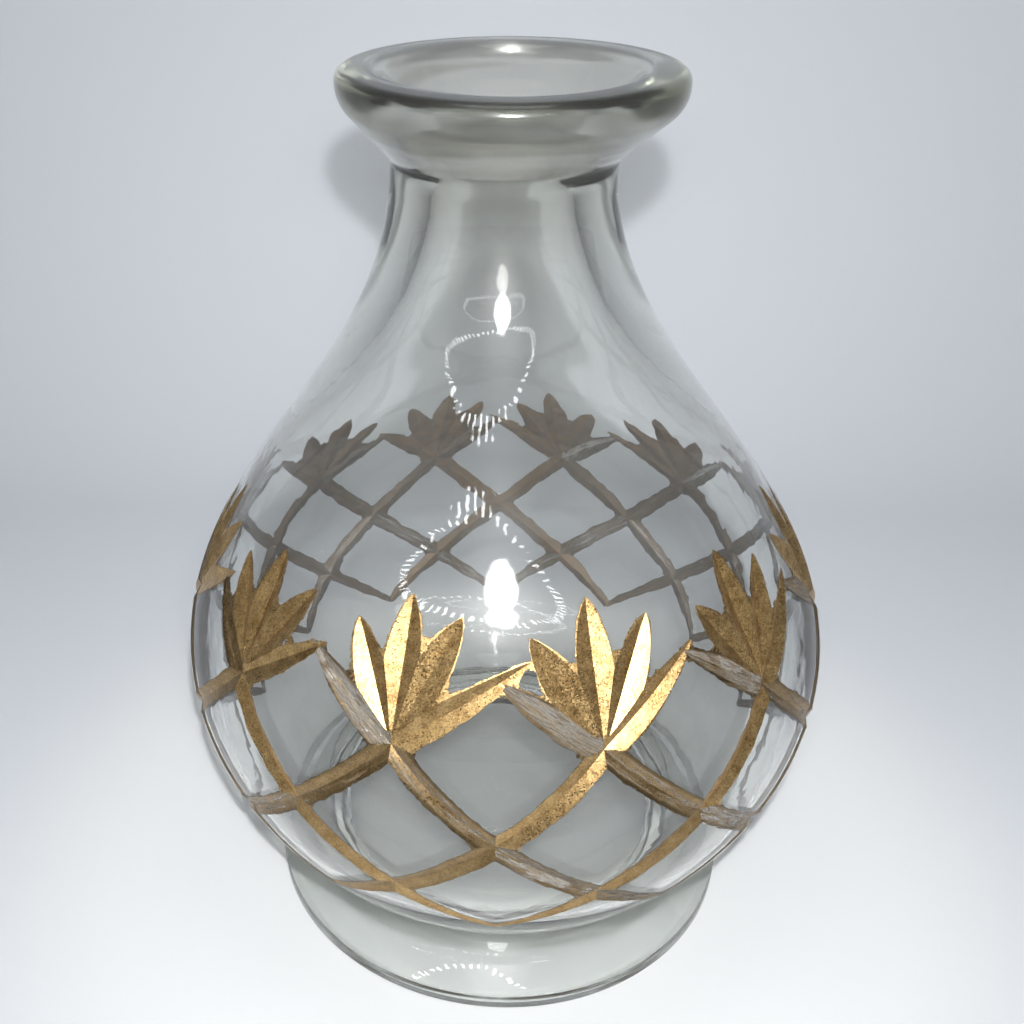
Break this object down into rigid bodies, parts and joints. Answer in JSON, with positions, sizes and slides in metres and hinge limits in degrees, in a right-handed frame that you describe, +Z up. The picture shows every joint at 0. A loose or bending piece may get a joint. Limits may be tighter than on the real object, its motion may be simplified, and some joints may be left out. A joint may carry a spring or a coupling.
{
  "type": "glass vase",
  "caption": "Clear pear-shaped glass vase with a collar mouth, a flared foot, and a wheel-cut lattice with fans painted gold round the belly.",
  "frame": {"origin": "middle of the plane that the foot rests on", "axes": "+Z up along the vase's axis, -Y towards the front, where the middle gap between two fans is"},
  "size_m": [0.1282, 0.1282, 0.1693],
  "materials": {
    "clear_glass": "polished, clear with a faint grey-green tint",
    "gold_paint": "granular metallic gold paint in the cuts",
    "worn_gold_paint": "thin, worn, reddish gold paint in the cuts"
  },
  "bodies": {
    "root": {"glass_body": "clear_glass", "fan_gilding_01": "gold_paint", "fan_gilding_02": "gold_paint", "fan_gilding_03": "gold_paint", "fan_gilding_04": "gold_paint", "fan_gilding_05": "gold_paint", "fan_gilding_06": "gold_paint", "fan_gilding_07": "gold_paint", "fan_gilding_08": "gold_paint", "fan_gilding_09": "gold_paint", "fan_gilding_10": "gold_paint", "fan_gilding_11": "gold_paint", "fan_gilding_12": "gold_paint", "cross_gilding_01": "worn_gold_paint", "cross_gilding_02": "worn_gold_paint", "cross_gilding_03": "worn_gold_paint", "cross_gilding_04": "worn_gold_paint", "cross_gilding_05": "worn_gold_paint", "cross_gilding_06": "worn_gold_paint", "cross_gilding_07": "worn_gold_paint", "cross_gilding_08": "worn_gold_paint", "cross_gilding_09": "worn_gold_paint", "cross_gilding_10": "worn_gold_paint", "cross_gilding_11": "worn_gold_paint", "cross_gilding_12": "worn_gold_paint"}
  },
  "joints": []
}
